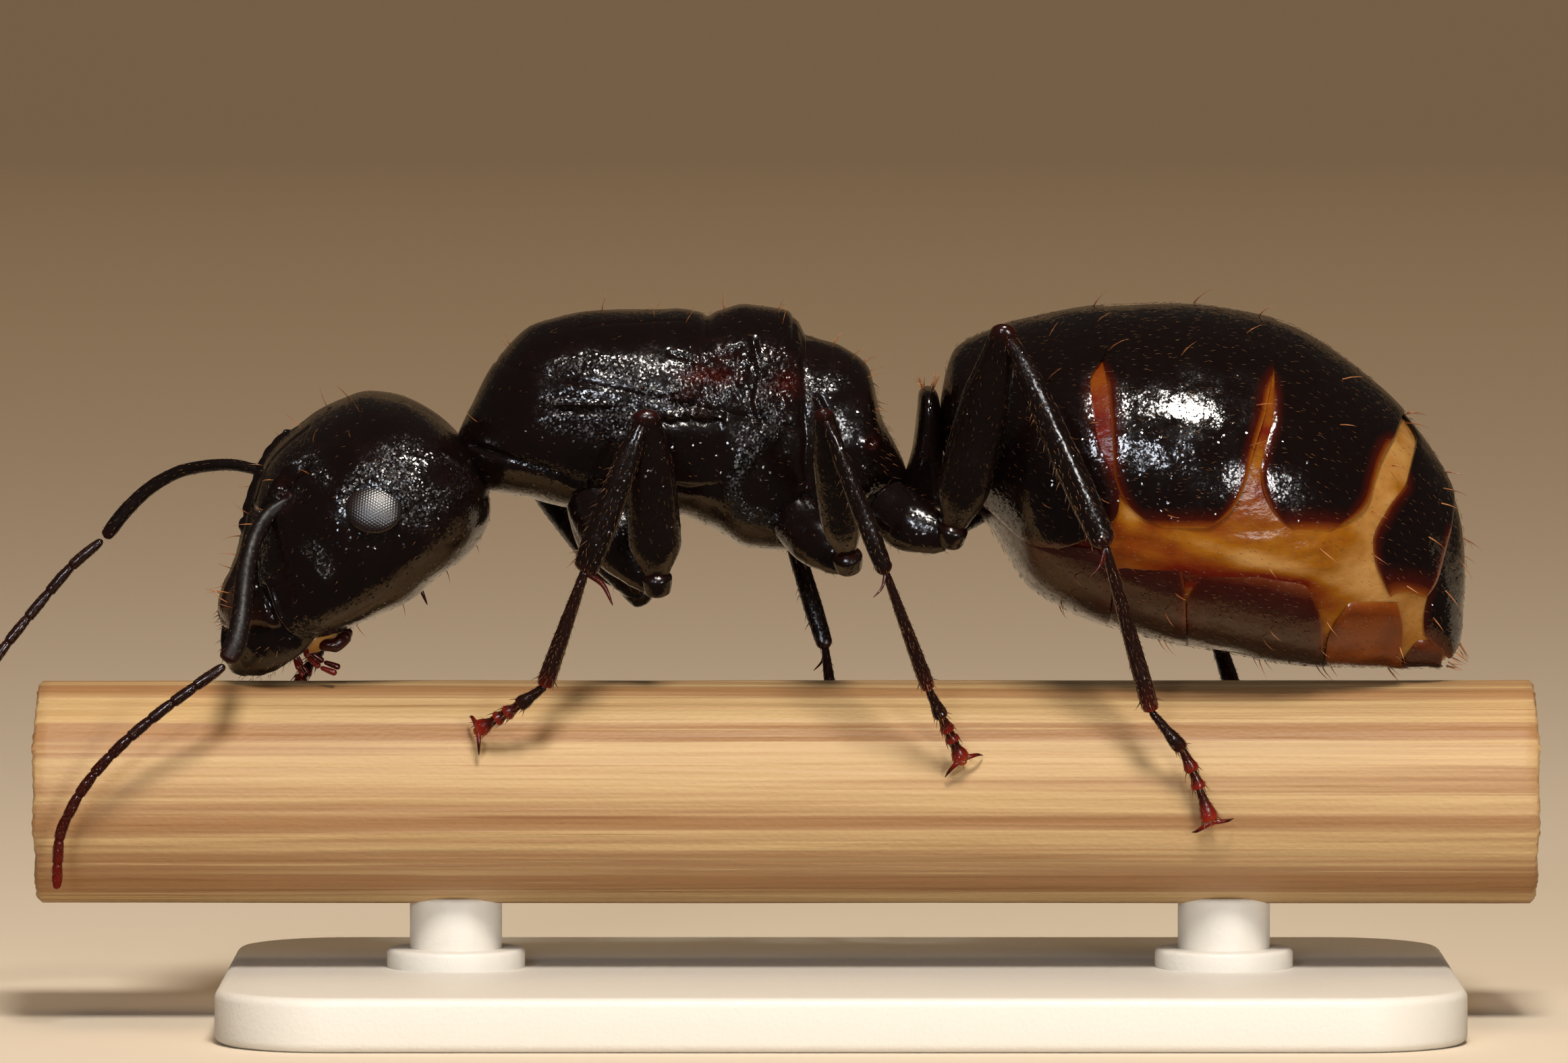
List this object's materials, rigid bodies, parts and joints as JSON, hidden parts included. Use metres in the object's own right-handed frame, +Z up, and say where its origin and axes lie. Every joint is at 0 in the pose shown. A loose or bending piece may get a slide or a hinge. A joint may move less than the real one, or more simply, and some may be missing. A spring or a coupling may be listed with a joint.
{
  "type": "carpenter ant queen",
  "caption": "Life-size still model of a carpenter ant queen without wings, gripping a cut bamboo stick on a plain display stand.",
  "frame": {"origin": "centre of the flat underside of the display stand's base", "axes": "+Z up; -X towards the ant's head and +X towards its gaster, along the stick; -Y towards the ant's left side; metres"},
  "size_m": [0.0213, 0.009, 0.0093],
  "materials": {
    "black_cuticle": "glossy black cuticle, finely punctate",
    "leg_cuticle": "glossy brown-black cuticle with short golden hairs",
    "tarsus_cuticle": "dark to translucent red-brown cuticle",
    "gaster_cuticle": "glossy black plates over translucent amber and red-brown",
    "eye_lens": "smooth dark compound eye",
    "bamboo": "split and rounded bamboo, matt, with lengthwise fibres",
    "stand_plastic": "plain pale satin plastic"
  },
  "bodies": {
    "root": {"coxa_front_left": "black_cuticle", "coxa_front_right": "black_cuticle", "coxa_hind_left": "black_cuticle", "coxa_hind_right": "black_cuticle", "coxa_middle_left": "black_cuticle", "coxa_middle_right": "black_cuticle", "eye_left": "eye_lens", "eye_right": "eye_lens", "femur_front_left": "leg_cuticle", "femur_front_right": "leg_cuticle", "femur_hind_left": "leg_cuticle", "femur_hind_right": "leg_cuticle", "femur_middle_left": "leg_cuticle", "femur_middle_right": "leg_cuticle", "funiculus_left": "tarsus_cuticle", "funiculus_right": "tarsus_cuticle", "gaster_1": "gaster_cuticle", "gaster_2": "gaster_cuticle", "gaster_3": "gaster_cuticle", "gaster_4": "gaster_cuticle", "gaster_5": "gaster_cuticle", "head": "black_cuticle", "mandible_left": "black_cuticle", "mandible_right": "black_cuticle", "mesopleura": "black_cuticle", "neck": "black_cuticle", "perch": "bamboo", "petiole": "black_cuticle", "pronotum": "black_cuticle", "propodeum": "black_cuticle", "scape_left": "leg_cuticle", "scape_right": "leg_cuticle", "scutellum": "black_cuticle", "scutum": "black_cuticle", "stand_base": "stand_plastic", "stand_rod_back": "stand_plastic", "stand_rod_front": "stand_plastic", "tarsus_front_left": "tarsus_cuticle", "tarsus_front_right": "tarsus_cuticle", "tarsus_hind_left": "tarsus_cuticle", "tarsus_hind_right": "tarsus_cuticle", "tarsus_middle_left": "tarsus_cuticle", "tarsus_middle_right": "tarsus_cuticle", "tibia_front_left": "leg_cuticle", "tibia_front_right": "leg_cuticle", "tibia_hind_left": "leg_cuticle", "tibia_hind_right": "leg_cuticle", "tibia_middle_left": "leg_cuticle", "tibia_middle_right": "leg_cuticle"}
  },
  "joints": []
}
